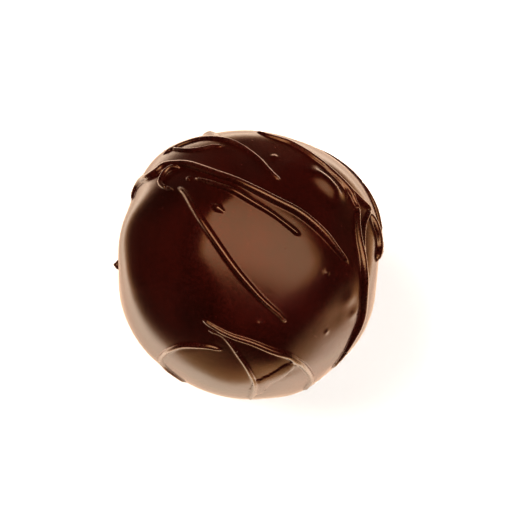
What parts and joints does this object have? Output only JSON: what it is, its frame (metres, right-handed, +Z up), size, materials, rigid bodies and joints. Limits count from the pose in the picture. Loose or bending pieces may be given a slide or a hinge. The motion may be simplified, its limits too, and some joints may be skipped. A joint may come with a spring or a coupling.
{
  "type": "marzipan ball",
  "caption": "Bite-sized marzipan ball in a glossy dark chocolate coat with fine chocolate drizzle, resting on a small flat spot.",
  "frame": {"origin": "middle of the round flat spot that the ball stands on", "axes": "+Z up, front at -Y with +X to the right of it; the drizzle runs from back left to front right over the crown"},
  "size_m": [0.0301, 0.0305, 0.0281],
  "materials": {
    "dark_chocolate": "tempered dark chocolate coat with a soft gloss"
  },
  "bodies": {
    "root": {"marzipan_ball": "dark_chocolate"}
  },
  "joints": []
}
